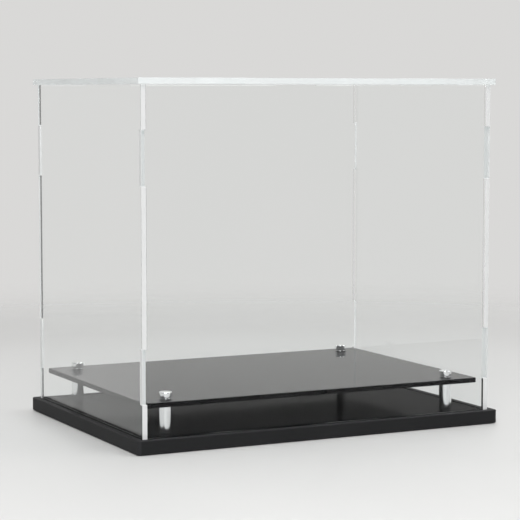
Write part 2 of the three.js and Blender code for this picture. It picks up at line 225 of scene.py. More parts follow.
class Skin:
    """One closed skin, gathered ring by ring and face by face before it becomes a mesh."""

    def __init__(self) -> None:
        """Starts with nothing gathered."""
        self.points: list[np.ndarray] = []
        self.normals: list[np.ndarray] = []
        self.arris: list[np.ndarray] = []
        self.faces: list[list[int]] = []
        self.slots: list[int] = []
        self.count = 0

    def _keep(self, faces: np.ndarray, slot: int | np.ndarray) -> None:
        """Adds faces and the finish slots that they take, which repeat along them."""
        self.faces += faces.tolist()
        self.slots += np.resize(slot, len(faces)).tolist()

    def ring(
        self,
        path: Line,
        profile: Line,
        slot: int | np.ndarray = 0,
        closes: bool = False,
        relief: Callable[[np.ndarray, np.ndarray], np.ndarray] | None = None,
    ) -> tuple[np.ndarray, np.ndarray]:
        """Carries a profile round a closed path.

        The point at (row, column) is the path's point moved along its outward direction by the
        profile's first number, at the level of its second. Its normal is made of the same two
        directions. Where a relief moves the points, the normal is the cross product of the grid's
        own slopes along the path and along the profile.

        Args:
            path: The closed path, seen from above.
            profile: Rows of (outward, level), from below upwards on an outside.
            slot: Finish slot of the faces, or one for each stretch of the path.
            closes: Whether the profile is closed too.
            relief: Outward shift for given angles and levels about the origin.

        Returns:
            The numbers of the points in the first row and in the last.
        """
        out, level = profile.points[:, 0, None], profile.points[:, 1, None]
        angle = np.arctan2(path.outward[:, 1], path.outward[:, 0])[None]
        shift = relief(angle, level) if relief else np.zeros((len(out), angle.size))
        flat = path.points[None] + path.outward[None] * (out + shift)[..., None]
        points = np.dstack([flat, np.broadcast_to(level, flat.shape[:2])])
        normals = np.dstack(
            [
                path.outward[None] * profile.outward[:, 0, None, None],
                np.broadcast_to(profile.outward[:, 1, None], flat.shape[:2]),
            ]
        )
        if relief:
            along = np.roll(points, -1, axis=1) - np.roll(points, 1, axis=1)
            slope = np.cross(along, np.gradient(points, axis=0))
            slope /= np.linalg.norm(slope, axis=2, keepdims=True) + 1e-30
            carved = np.abs(shift).max(axis=1) > 0
            normals[carved] = slope[carved]
        rows, columns = flat.shape[:2]
        index = self.count + np.arange(rows * columns).reshape(rows, columns)
        upper = np.roll(index, -1, axis=0) if closes else index[1:]
        lower = index if closes else index[:-1]
        quads = [lower, np.roll(lower, -1, axis=1), np.roll(upper, -1, axis=1), upper]
        self._keep(np.stack(quads, axis=-1).reshape(-1, 4), slot)
        self.points.append(points.reshape(-1, 3))
        self.normals.append(normals.reshape(-1, 3))
        self.arris.append(np.maximum(path.arris[None], profile.arris[:, None]).ravel())
        self.count += rows * columns
        return index[0], index[-1]

    def face(self, rows: Sequence[np.ndarray], is_up: bool, slot: int = 0) -> None:
        """Fills the flat face between closed rows of points, the outer one first.

        A face with no hole is one polygon, turned by the sign of the area that its outline goes round.

        Args:
            rows: Numbers of the points along the outline and along each hole.
            is_up: Whether the face looks up.
            slot: Finish slot of the face.
        """
        points = np.concatenate(self.points)
        if len(rows) == 1:
            x, y = points[rows[0], 0], points[rows[0], 1]
            is_left = (x * np.roll(y, -1) - y * np.roll(x, -1)).sum() > 0
            self._keep((rows[0] if is_left == is_up else rows[0][::-1])[None], slot)
            return
        around = [[Vector((*points[i, :2], 0)) for i in row] for row in rows]
        triangles = np.concatenate(rows)[np.array(tessellate_polygon(around))]
        a, b, c = (points[triangles[:, i], :2] for i in range(3))
        area = (b - a)[:, 0] * (c - a)[:, 1] - (b - a)[:, 1] * (c - a)[:, 0]
        turned = (area > 0) != is_up
        triangles[turned] = triangles[turned][:, ::-1]
        self._keep(triangles, slot)

    def piece(self, name: str, finishes: Sequence[Finish], plane: Plane = Plane.LYING) -> bpy.types.Object:
        """Makes the gathered skin an object.

        Args:
            name: Name of the piece.
            finishes: One finish for each slot.
            plane: Which way the skin is turned into place.

        Returns:
            The object, at the origin, with its place in its mesh.
        """
        turn = np.array(plane.value, float).T
        points = np.concatenate(self.points) @ turn
        normals = np.concatenate(self.normals) @ turn
        mesh = bpy.data.meshes.new(name)
        mesh.from_pydata(points.tolist(), [], self.faces)
        mesh.polygons.foreach_set("material_index", np.array(self.slots, np.int32))
        mesh.polygons.foreach_set("use_smooth", np.ones(len(self.faces), bool))
        # The arris share masks the arrises that finishes lighten, as painted highlight and as wear.
        arris_share = mesh.attributes.new("arris", "FLOAT", "POINT")
        arris_share.data.foreach_set("value", np.concatenate(self.arris).astype(np.float32))
        mesh.normals_split_custom_set_from_vertices(normals.tolist())
        mesh.update()
        for finish in finishes:
            mesh.materials.append(finish.material())
        made = bpy.data.objects.new(name, mesh)
        bpy.context.scene.collection.objects.link(made)
        return made


def plate(
    outline: Line,
    holes: Sequence[Line],
    low: float,
    high: float,
    arris: float,
    cut_slot: int | np.ndarray = 0,
) -> Skin:
    """A flat plate with softened arrises: its edge profile is carried round each outline.

    Args:
        outline: The outer outline.
        holes: The outlines of the holes.
        low: Level of the lower face.
        high: Level of the upper face.
        arris: Radius of the softened arrises.
        cut_slot: Finish slot of the cut edges, or one for each stretch of the outline.

    Returns:
        The plate's skin.
    """
    skin = Skin()
    profile = edge_profile(low, high, arris)
    ends = [skin.ring(outline, profile, cut_slot)]
    ends += [skin.ring(hole.as_hole(), profile, np.max(cut_slot)) for hole in holes]
    skin.face([end[0] for end in ends], is_up=False)
    skin.face([end[1] for end in ends], is_up=True)
    return skin


# ---- Shader maths --------------------------------------------------------------------------------


class Signal:
    """A value on its way between shader nodes. Arithmetic on it adds Math nodes."""

    def __init__(self, bench: Bench, socket: bpy.types.NodeSocket) -> None:
        """Wraps an output socket of a node on a bench."""
        self.bench = bench
        self.socket = socket

    def _with(self, operation: str, first: Any, second: Any) -> Signal:
        """The outcome of a Math node on two values."""
        return self.bench.node("ShaderNodeMath", {"operation": operation}, {0: first, 1: second})

    def __add__(self, other: Signal | float) -> Signal:
        """Sum."""
        return self._with("ADD", self, other)

    __radd__ = __add__

    def __rsub__(self, other: float) -> Signal:
        """Difference from a number."""
        return self._with("SUBTRACT", other, self)

    def __mul__(self, other: Signal | float) -> Signal:
        """Product."""
        return self._with("MULTIPLY", self, other)

    __rmul__ = __mul__

    def __gt__(self, other: Signal | float) -> Signal:
        """1 where this is more than the other, else 0."""
        return self._with("GREATER_THAN", self, other)

    def at_least(self, other: Signal | float) -> Signal:
        """The larger of this and the other."""
        return self._with("MAXIMUM", self, other)

    def eased(self, start: float, end: float) -> Signal:
        """0 at start, 1 at end, and a smooth step between them."""
        settings = {"interpolation_type": "SMOOTHSTEP"}
        return self.bench.node("ShaderNodeMapRange", settings, {"Value": self, 1: start, 2: end})


class Bench:
    """A node tree on which a finish is put together."""

    def __init__(self, tree: bpy.types.NodeTree) -> None:
        """Clears the tree."""
        self.tree = tree
        tree.nodes.clear()

    def node(
        self,
        kind: str,
        settings: dict[str, Any] | None = None,
        inputs: dict[str | int, Any] | None = None,
        output: str | int = 0,
    ) -> Signal:
        """Adds one node.

        Args:
            kind: The node's type.
            settings: Its properties, set first.
            inputs: Values or signals for its sockets.
            output: Which of its outputs is returned.

        Returns:
            That output.
        """
        made = self.tree.nodes.new(kind)
        for name, value in (settings or {}).items():
            setattr(made, name, value)
        for name, value in (inputs or {}).items():
            if isinstance(value, Signal):
                self.tree.links.new(value.socket, made.inputs[name])
            else:
                made.inputs[name].default_value = value
        return Signal(self, made.outputs[output] if made.outputs else None)

    def place(self, stretch: tuple[float, float, float] = (1, 1, 1)) -> Signal:
        """The point on the piece, stretched along each axis."""
        point = self.node("ShaderNodeTexCoord", output="Object")
        return self.node("ShaderNodeMapping", {}, {"Vector": point, "Scale": stretch})

    def noise(
        self, scale: float, detail: float = 2, stretch: tuple[float, float, float] = (1, 1, 1)
    ) -> Signal:
        """Cloudy noise about 0.5, with scale lumps to a metre."""
        inputs = {"Vector": self.place(stretch), "Scale": scale, "Detail": detail, "Roughness": 0.55}
        return self.node("ShaderNodeTexNoise", {}, inputs)

    def specks(self, scale: float, radius: float, share: float) -> Signal:
        """Scattered specks: 1 inside a share of the cells' middles and 0 elsewhere.

        Args:
            scale: Cells to a metre.
            radius: A speck's radius beside a cell.
            share: How many of the cells hold a speck, from 0 to 1.

        Returns:
            The specks.
        """
        inputs = {"Vector": self.place(), "Scale": scale}
        near = self.node("ShaderNodeTexVoronoi", {}, inputs, "Distance")
        tint = self.node("ShaderNodeTexVoronoi", {}, inputs, "Color")
        pick = self.node("ShaderNodeSeparateColor", {}, {0: tint}, "Red")
        return (1 - near.eased(radius * 0.5, radius)) * (pick > 1 - share)

    def arris(self) -> Signal:
        """1 on softened arrises and 0 on flat faces."""
        return self.node("ShaderNodeAttribute", {"attribute_name": "arris"}, {}, "Fac")

    def blend(self, share: Signal, under: Signal | Sequence[float], over: Sequence[float]) -> Signal:
        """A colour laid over another colour or signal, by a share from 0 to 1."""
        first = under if isinstance(under, Signal) else (*under, 1)
        return self.node("ShaderNodeMix", {"data_type": "RGBA"}, {0: share, 6: first, 7: (*over, 1)}, 2)

    def relief(self, height: Signal, distance: float) -> Signal:
        """The normal of a surface whose height runs from 0 to 1 over a distance."""
        return self.node("ShaderNodeBump", {}, {"Height": height, "Distance": distance}, "Normal")


class Finish:
    """What every finish shares: one material of its own name, made when it is first asked for."""

    name: str

    def inputs(self, bench: Bench) -> dict[str, Any]:
        """What the finish feeds to its Principled shader, from nodes put on the bench."""
        raise NotImplementedError

    def ended(self, bench: Bench, shader: Signal) -> Signal:
        """The shader as it leaves the finish."""
        return shader

    def material(self) -> bpy.types.Material:
        """The finish's material."""
        found = bpy.data.materials.get(self.name)
        if found is None:
            found = bpy.data.materials.new(self.name)
            found.use_nodes = True
            bench = Bench(found.node_tree)
            shader = bench.node("ShaderNodeBsdfPrincipled", {}, self.inputs(bench))
            bench.node("ShaderNodeOutputMaterial", {}, {"Surface": self.ended(bench, shader)})
        return found


@dataclass(frozen=True)
class SatinLacquer(Finish):
    """Sprayed black lacquer: a faint orange peel, cloudy sheen, dust, and arrises lightened partly by wear
    and partly as a painted highlight.
    """

    name: str = "satin_black_lacquer"
    deep: Colour = (0.0135, 0.0138, 0.0145)
    pale: Colour = (0.0185, 0.0188, 0.0195)
    rubbed: Colour = (0.028, 0.028, 0.030)
    dust: Colour = (0.16, 0.155, 0.15)
    roughness: float = 0.44
    shine: float = 0.08
    peel_height: float = 0.02 * MM

    def inputs(self, bench: Bench) -> dict[str, Any]:
        """Clouds and dust in the colour, peel in the relief, and both in the roughness."""
        cloud = bench.noise(14, detail=3)
        peel = bench.noise(650, detail=2)
        specks = bench.specks(scale=230, radius=0.055, share=0.16)
        colour = bench.blend(cloud, self.deep, self.pale)
        # Partly wear and partly painted highlight: the arrises are lightened.
        colour = bench.blend(bench.arris() * 0.7, colour, self.rubbed)
        return {
            "Base Color": bench.blend(specks * 0.5, colour, self.dust),
            "Roughness": self.roughness + 0.09 * cloud + 0.05 * peel + 0.2 * specks,
            "Specular IOR Level": self.shine,
            "Normal": bench.relief(peel, self.peel_height),
        }


@dataclass(frozen=True)
class BlackAcrylic(Finish):
    """Cast black acrylic sheet: wipe marks, dust, arrises lightened by a painted highlight and, at will, a
    waxy bloom.
    """

    name: str = "gloss_black_acrylic"
    deep: Colour = (0.0022, 0.0022, 0.0026)
    pale: Colour = (0.0042, 0.0042, 0.0048)
    polished: Colour = (0.05, 0.05, 0.052)
    dust: Colour = (0.14, 0.14, 0.14)
    roughness: float = 0.022
    shine: float = 0.11
    bloom: float = 0.0
    bloom_roughness: float = 0.1
    ripple_height: float = 0.012 * MM

    def inputs(self, bench: Bench) -> dict[str, Any]:
        """Wipe marks in the roughness, a slow ripple in the relief, and dust and a painted arris highlight
        in the colour.
        """
        wipes = bench.noise(26, detail=4, stretch=(1, 5, 5)).eased(0.42, 0.72)
        ripple = bench.noise(22, detail=1)
        specks = bench.specks(scale=170, radius=0.04, share=0.12)
        colour = bench.blend(wipes, self.deep, self.pale)
        # Painted highlight: the arrises are lightened in patches, standing in for the light that they
        # catch.
        colour = bench.blend(bench.arris() * bench.noise(11).eased(0.4, 0.6), colour, self.polished)
        return {
            "Base Color": bench.blend(specks * 0.4, colour, self.dust),
            "Roughness": self.roughness + 0.02 * wipes + 0.25 * specks,
            "Specular IOR Level": self.shine,
            "Coat Weight": self.bloom * (1 - 0.3 * wipes),
            "Coat Roughness": self.bloom_roughness,
            "Normal": bench.relief(ripple, self.ripple_height),
        }


class ClearFinish(Finish):
    """What clear finishes share: light that only passes on its way goes straight through."""

    passing: Colour
    bending: float = 1.49

    def ended(self, bench: Bench, shader: Signal) -> Signal:
        """The shader, open to shadow and diffuse rays."""
        is_shadow = bench.node("ShaderNodeLightPath", output="Is Shadow Ray")
        is_diffuse = bench.node("ShaderNodeLightPath", output="Is Diffuse Ray")
        through = bench.node("ShaderNodeBsdfTransparent", {}, {"Color": (*self.passing, 1)})
        mixed = {0: is_shadow.at_least(is_diffuse), 1: shader, 2: through}
        return bench.node("ShaderNodeMixShader", {}, mixed)


@dataclass(frozen=True)
class ClearSheet(ClearFinish):
    """Polished faces of clear acrylic sheet, with a slow ripple and faint wipe marks."""

    name: str = "clear_acrylic_face"
    deep: Colour = (0.984, 0.992, 0.990)
    pale: Colour = (0.992, 0.997, 0.996)
    passing: Colour = (0.93, 0.94, 0.94)
    glare: float = 0.12
    roughness: float = 0.002
    ripple_height: float = 0.004 * MM

    def inputs(self, bench: Bench) -> dict[str, Any]:
        """Wipe marks in the roughness and a slow ripple in the relief."""
        wipes = bench.noise(18, detail=4, stretch=(1, 1, 3)).eased(0.5, 0.78)
        ripple = bench.noise(9, detail=1)
        return {
            "Base Color": bench.blend(ripple, self.deep, self.pale),
            "Roughness": self.roughness + 0.012 * wipes,
            "IOR": self.bending,
            "Specular Tint": (self.glare, self.glare, self.glare, 1),
            "Transmission Weight": 1.0,
            "Normal": bench.relief(ripple, self.ripple_height),
        }


@dataclass(frozen=True)
class ClearEdge(ClearFinish):
    """Cut edges of clear acrylic sheet, finely grained by the cutter. Their pale colour is partly the
    frosted cut's own whiteness and partly painted light, standing in for light carried along inside the
    sheet.
    """

    name: str = "clear_acrylic_cut_edge"
    deep: Colour = (0.95, 0.965, 0.965)
    pale: Colour = (0.985, 0.99, 0.99)
    passing: Colour = (0.86, 0.88, 0.88)
    clearness: float = 0.35
    roughness: float = 0.10
    grain_height: float = 0.01 * MM

    def inputs(self, bench: Bench) -> dict[str, Any]:
        """The cutter's fine grain in the relief and the roughness, and a cloudy brightness."""
        grain = bench.noise(900, detail=1)
        cloud = bench.noise(35, detail=3)
        # Partly painted light: the pale base colour brightens the edges as light carried inside the sheet
        # would.
        return {
            "Base Color": bench.blend(cloud, self.deep, self.pale),
            "Roughness": self.roughness + 0.12 * cloud + 0.08 * grain,
            "IOR": self.bending,
            "Transmission Weight": self.clearness,
            "Normal": bench.relief(grain, self.grain_height),
        }


@dataclass(frozen=True)
class Steel(Finish):
    """Turned steel, polished or plated; the marks raise its roughness."""

    name: str = "polished_steel"
    deep: Colour = (0.70, 0.71, 0.72)
    pale: Colour = (0.86, 0.865, 0.87)
    roughness: float = 0.045
    marks: float = 0.05
    mark_height: float = 0.0008 * MM

    def inputs(self, bench: Bench) -> dict[str, Any]:
        """Turning marks, thin rings stacked along the axis, and a cloud of handling marks."""
        rings = bench.noise(60, detail=3, stretch=(1, 1, 120))
        cloud = bench.noise(160, detail=3)
        return {
            "Base Color": bench.blend((rings * 0.5 + cloud * 0.5).eased(0.25, 0.6), self.deep, self.pale),
            "Metallic": 1.0,
            "Roughness": self.roughness + self.marks * rings + 0.04 * cloud.eased(0.5, 0.8),
            "Normal": bench.relief(rings, self.mark_height),
        }


@dataclass(frozen=True)
class Rubber(Finish):
    """Moulded black rubber with a fine grain, greyed on its arrises partly by wear and partly as a painted
    highlight.
    """

    name: str = "black_rubber"
    deep: Colour = (0.012, 0.012, 0.013)
    pale: Colour = (0.035, 0.035, 0.036)
    rubbed: Colour = (0.075, 0.074, 0.072)
    roughness: float = 0.72
    grain_height: float = 0.04 * MM

    def inputs(self, bench: Bench) -> dict[str, Any]:
        """Grain in the relief; clouds, and arrises greyed partly by wear and partly as a painted highlight,
        in the colour.
        """
        colour = bench.blend(bench.noise(120, detail=3), self.deep, self.pale)
        grain = bench.noise(1900, detail=2)
        return {
            # Partly wear and partly painted highlight: the arrises are greyed.
            "Base Color": bench.blend(bench.arris() * 0.6, colour, self.rubbed),
            "Roughness": self.roughness + 0.2 * grain,
            "Normal": bench.relief(grain, self.grain_height),
        }


@dataclass(frozen=True)
class PaleFloor(Finish):
    """A plain pale floor that thins out into the backdrop away from the case."""

    name: str = "pale_floor"
    deep: Colour = (0.56, 0.56, 0.555)
    pale: Colour = (0.59, 0.59, 0.585)
    roughness: float = 0.38
    shine: float = 0.3
    thins_from: float = 0.5
    gone_at: float = 1.5

    def inputs(self, bench: Bench) -> dict[str, Any]:
        """A soft mottle in the colour and the roughness."""
        mottle = bench.noise(6, detail=3)
        return {
            "Base Color": bench.blend(mottle, self.deep, self.pale),
            "Roughness": self.roughness + 0.1 * mottle,
            "Specular IOR Level": self.shine,
        }

    def ended(self, bench: Bench, shader: Signal) -> Signal:
        """The shader, fading to nothing by the distance from the case."""
        reach = bench.node("ShaderNodeVectorMath", {"operation": "LENGTH"}, {0: bench.place()}, "Value")
        clear = bench.node("ShaderNodeBsdfTransparent")
        thinned = {0: reach.eased(self.thins_from, self.gone_at), 1: shader, 2: clear}
        return bench.node("ShaderNodeMixShader", {}, thinned)


LACQUER = SatinLacquer()
GLOSS_BLACK = BlackAcrylic()
SATIN_BLACK = BlackAcrylic(
    "satin_black_acrylic",
    deep=(0.003, 0.003, 0.0034),
    pale=(0.006, 0.006, 0.0066),
    # Painted highlight: the floor sheet's arrises are lightened to a pale grey, drawing a light line along
    # them.
    polished=(0.25, 0.25, 0.25),
    roughness=0.42,
    shine=0.0,
    bloom=0.18,
)
CLEAR_FACE = ClearSheet()
CLEAR_EDGE = ClearEdge()
# Painted shade: the lid's cut edges take a darker copy of the cut-edge colours, offsetting the stronger
# light that falls on them.
SHADED_LID_EDGE = ClearEdge("clear_acrylic_lid_edge", (0.70, 0.73, 0.73), (0.82, 0.84, 0.84))
POLISHED_STEEL = Steel()
ZINC_STEEL = Steel("zinc_steel", (0.42, 0.43, 0.45), (0.62, 0.63, 0.62), 0.28, 0.14, 0.003 * MM)
RUBBER = Rubber()


# ---- Sub-assemblies ------------------------------------------------------------------------------


class Upright(NamedTuple):
    """An upright round piece: where its axis stands, its radius and the levels of its two ends."""

    axis: tuple[float, float]
    radius: float
    low: float
    high: float

    @classmethod
    def of(cls, node: str) -> Upright:
        """Reads them from a node's box."""
        low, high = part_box(node)
        return cls(((low.x + high.x) / 2, (low.y + high.y) / 2), (high.x - low.x) / 2, low.z, high.z)


@dataclass(frozen=True)
class Assembly:
    """What the sub-assemblies share: turned pieces, and pieces that stand for a node on its body."""

    @staticmethod
    def turned(
        axis: tuple[float, float],
        corners: Sequence[Sequence[float]],
        thread: Thread | None = None,
        is_ring: bool = False,
        segments: int = 96,
        steps: int = 6,
    ) -> Skin:
        """A profile turned round an upright axis.

        Args:
            axis: Where the axis stands.
            corners: The profile's (radius, level, rounding), upwards along the outside.
            thread: A thread cut into it.
            is_ring: Whether the profile is closed, as a tube's is. Otherwise both ends are flat faces.
            segments: Straight pieces round the turned face.
            steps: Straight pieces in each rounding.

        Returns:
            The turned skin.
        """
        skin = Skin()
        profile = softened(corners, steps, is_closed=is_ring)
        path = circle(0, segments).shifted(*axis)
        first, last = skin.ring(path, profile, closes=is_ring, relief=thread and thread.relief)
        if not is_ring:
            skin.face([first], is_up=False)
            skin.face([last], is_up=True)
        return skin

    def stand(self, piece: bpy.types.Object, node: str, slot: str) -> bpy.types.Object:
        """Puts a made piece in a node's stead.

        Args:
            piece: The made piece.
            node: The node that it stands for.
            slot: The record's material slot; not used.

        Returns:
            The piece.
        """
        bodies = FRAME["record"]["behaviour"]["bodies"]
        body = next(name for name, members in bodies.items() if node in members)
        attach(piece, body)
        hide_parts(node)
        LOG.info("%s stands for %s on %s: %d faces", piece.name, node, body, len(piece.data.polygons))
        return piece


@dataclass(frozen=True)
class Standoffs(Assembly):
    """Four standoffs: barrel, washers, cap with its threaded stud, and base screw.

    Attributes:
        segments: Straight pieces round a screw.
        thread_radius: Radius of the studs and screws over their threads.
        bore_clearance: Gap between a thread and the bore that it stands in.
        pitch: Rise of one turn of the thread.
        thread_depth: Depth of the thread.
        tip: Chamfer at a stud's or screw's tip.
        tip_arris: Radius of that chamfer's arrises.
        arris: Radius of softened arrises.
        bore_arris: Radius of a bore's arrises, and of the hollow under a cap.
        washer_arris: Radius of a washer's arrises beside its thickness.
        cap_rounding: Radius of the cap's upper edge.
        seat_gap: Gap between a cap and its washer.
        unthreaded: Length of a stud under the cap that has no thread.
        socket_across_flats: Width of a screw's hexagonal socket.
        socket_depth: Depth of that socket.
        head_rim: Height of the straight rim of a countersunk head.
        head_arris: Radius of the head's arrises.
        socket_hollow: Radius of the hollow round the socket's floor.
    """

    segments: int = 96
    thread_radius: float = 3.0 * MM
    bore_clearance: float = 0.25 * MM
    pitch: float = 1.0 * MM
    thread_depth: float = 0.45 * MM
    tip: float = 0.6 * MM
    tip_arris: float = 0.1 * MM
    arris: float = 0.35 * MM
    bore_arris: float = 0.15 * MM
    washer_arris: float = 0.3
    cap_rounding: float = 1.0 * MM
    seat_gap: float = 0.1 * MM
    unthreaded: float = 4 * MM
    socket_across_flats: float = 4.0 * MM
    socket_depth: float = 2.0 * MM
    head_rim: float = 0.5 * MM
    head_arris: float = 0.12 * MM
    socket_hollow: float = 0.2 * MM

    def barrel(self, corner: Corner) -> None:
        """A polished tube with softened ends and a threaded bore."""
        node = f"standoff_barrel_{corner.label}"
        axis, outer, low, high = Upright.of(node)
        bore = self.thread_radius + self.bore_clearance
        thread = Thread(self.pitch, -self.thread_depth, low + self.arris, high - self.arris)
        corners = [
            (bore, low, self.bore_arris),
            (outer, low, self.arris),
            (outer, high, self.arris),
            (bore, high, self.bore_arris),
            *((bore, level, 0) for level in thread.levels()[::-1]),
        ]
        skin = self.turned(axis, corners, thread, is_ring=True)
        self.stand(skin.piece(f"barrel_{corner.label}", [POLISHED_STEEL]), node, "polished_steel")

    def washer(self, corner: Corner, place: str) -> None:
        """A thin polished washer with softened arrises, below or above the platform."""
        node = f"{place}_washer_{corner.label}"
        axis, outer, low, high = Upright.of(node)
        bore = self.thread_radius + self.bore_clearance
        soft = (high - low) * self.washer_arris
        corners = [(bore, low, soft), (outer, low, soft), (outer, high, soft), (bore, high, soft)]
        skin = self.turned(axis, corners, is_ring=True)
        self.stand(skin.piece(f"{place}_spacer_{corner.label}", [POLISHED_STEEL]), node, "polished_steel")

    def cap(self, corner: Corner) -> None:
        """A round cap with a soft upper edge, on a stud with a cut thread."""
        node = f"standoff_cap_{corner.label}"
        axis, outer, low, high = Upright.of(node)
        shoulder = Upright.of(f"upper_washer_{corner.label}").high + self.seat_gap
        stud = self.thread_radius
        thread_low = low + self.tip + 2 * self.tip_arris
        thread = Thread(self.pitch, self.thread_depth, thread_low, shoulder - self.unthreaded)
        corners = [
            (0, low, 0),
            (stud - self.tip, low, self.tip_arris),
            (stud, low + self.tip, self.tip_arris),
            *((stud, level, 0) for level in thread.levels()),
            (stud, shoulder, self.bore_arris),
            (outer, shoulder, self.arris),
            (outer, high, self.cap_rounding),
            (0, high, 0),
        ]
        skin = self.turned(axis, corners, thread)
        self.stand(skin.piece(f"threaded_cap_{corner.label}", [POLISHED_STEEL]), node, "polished_steel")

    def screw(self, corner: Corner) -> None:
        """A countersunk screw with a hexagonal socket and a cut thread.

        The socket's rows are hexagons: the distance from the axis is half the width across flats
        over the cosine of the angle from the middle of the nearest flat.
        """
        node = f"base_screw_{corner.label}"
        axis, head, low, high = Upright.of(node)
        shank, rim_top = self.thread_radius, low + self.head_rim
        cone_top = rim_top + head - shank
        thread_low, thread_high = cone_top + 1.5 * self.pitch, high - self.tip - self.tip_arris
        thread = Thread(self.pitch, self.thread_depth, thread_low, thread_high)
        around = circle(0, self.segments).shifted(*axis)
        corners = [
            (0, low, 0),
            (head, low, self.head_arris),
            (head, rim_top, self.head_arris),
            (shank, cone_top, 2 * self.bore_arris),
            *((shank, level, 0) for level in thread.levels()),
            (shank, high - self.tip, self.tip_arris),
            (shank - self.tip, high, self.tip_arris),
            (0, high, 0),
        ]
        skin = Skin()
        under, tip = skin.ring(around, section(corners, 4), relief=thread.relief)
        sixth = np.pi / 3
        angle = np.arctan2(around.outward[:, 1], around.outward[:, 0])
        across = self.socket_across_flats / 2 / np.cos((angle + sixth / 2) % sixth - sixth / 2)
        hexagon = replace(around, points=around.points + around.outward * across[:, None]).as_hole()
        floor = low + self.socket_depth
        sides = [(-1, low, 0), (0, low, self.head_arris), (0, floor, self.socket_hollow), (1, floor, 0)]
        mouth, end = skin.ring(hexagon, section(sides))
        skin.face([under, mouth], is_up=False)
        skin.face([end], is_up=False)
        skin.face([tip], is_up=True)
        self.stand(skin.piece(f"countersunk_screw_{corner.label}", [ZINC_STEEL]), node, "zinc_steel")

    def build(self) -> None:
        """Makes the pieces of all four standoffs."""
        for corner in Corner:
            self.screw(corner)
            self.barrel(corner)
            self.washer(corner, "lower")
            self.washer(corner, "upper")
            self.cap(corner)


